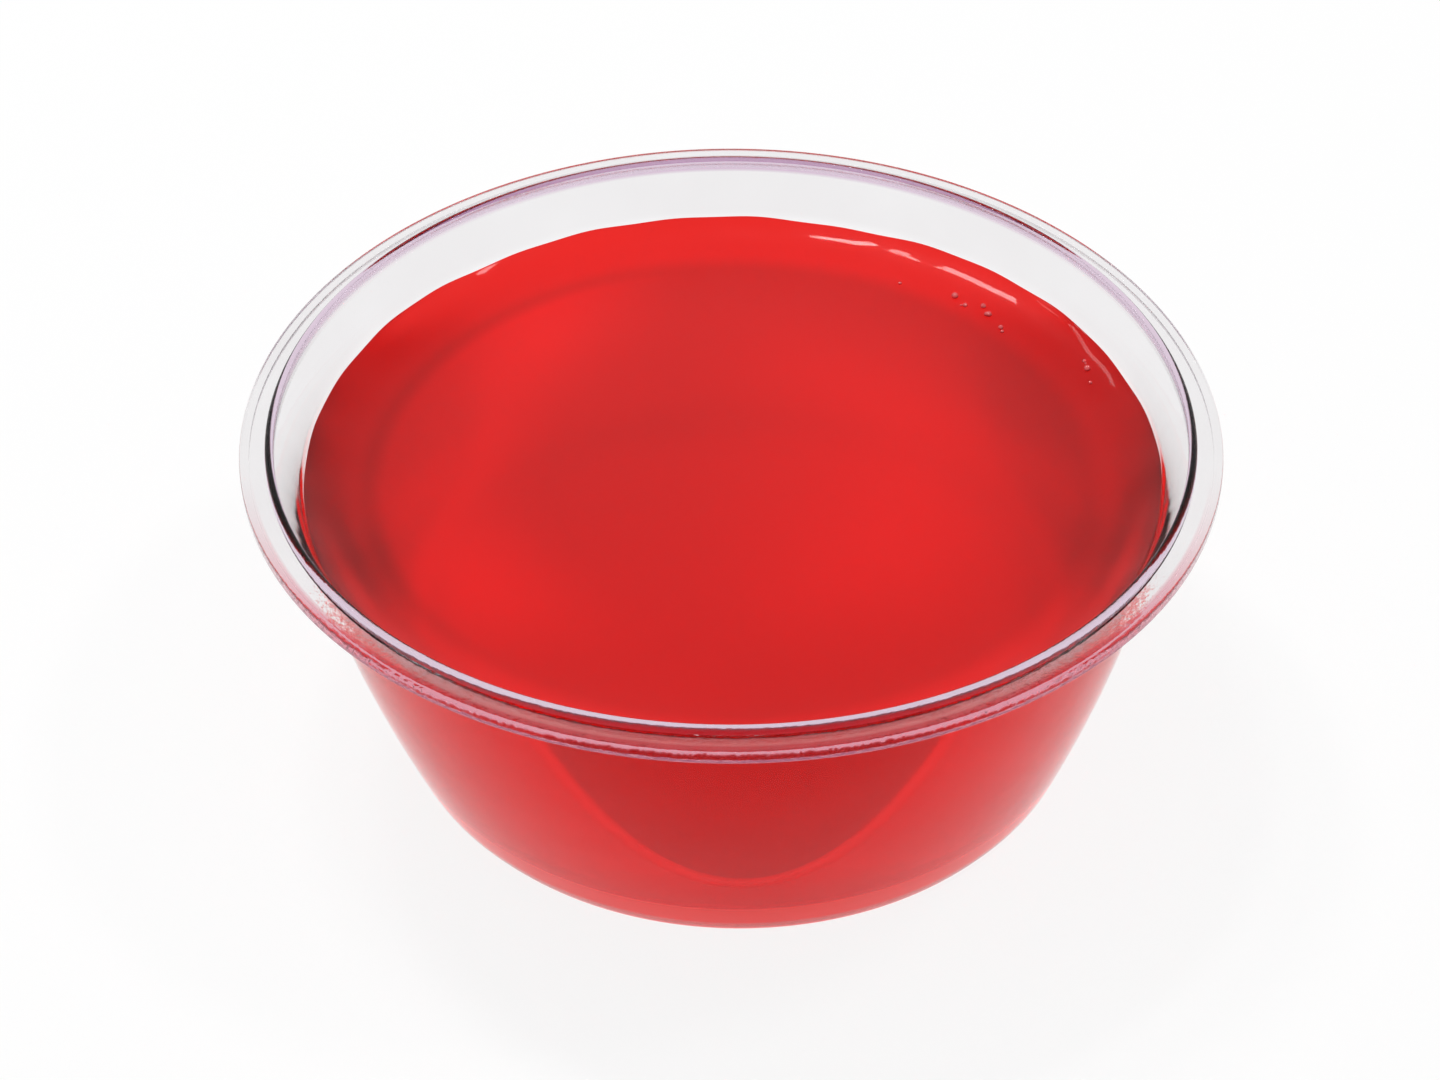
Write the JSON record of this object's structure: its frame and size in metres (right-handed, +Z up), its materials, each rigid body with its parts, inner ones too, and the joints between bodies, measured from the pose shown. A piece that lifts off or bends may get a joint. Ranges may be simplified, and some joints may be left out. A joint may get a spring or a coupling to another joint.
{
  "type": "cup of red jelly",
  "caption": "Clear red jelly set in a small round plastic cup with a flat lip, a raised ridge and a ring-shaped foot.",
  "frame": {"origin": "on the axis of the rim, at the height of the ring that the cup rests on", "axes": "+Z up out of the mouth of the cup; +X to the right and +Y away from the side that is looked at from the front"},
  "size_m": [0.062, 0.062, 0.0239],
  "materials": {
    "clear_plastic": "thin, smooth, clear moulded plastic with bright edges at the lip and the ridge",
    "red_jelly": "clear deep red jelly with a wet, slightly uneven top"
  },
  "bodies": {
    "root": {"cup": "clear_plastic", "jelly": "red_jelly"}
  },
  "joints": []
}
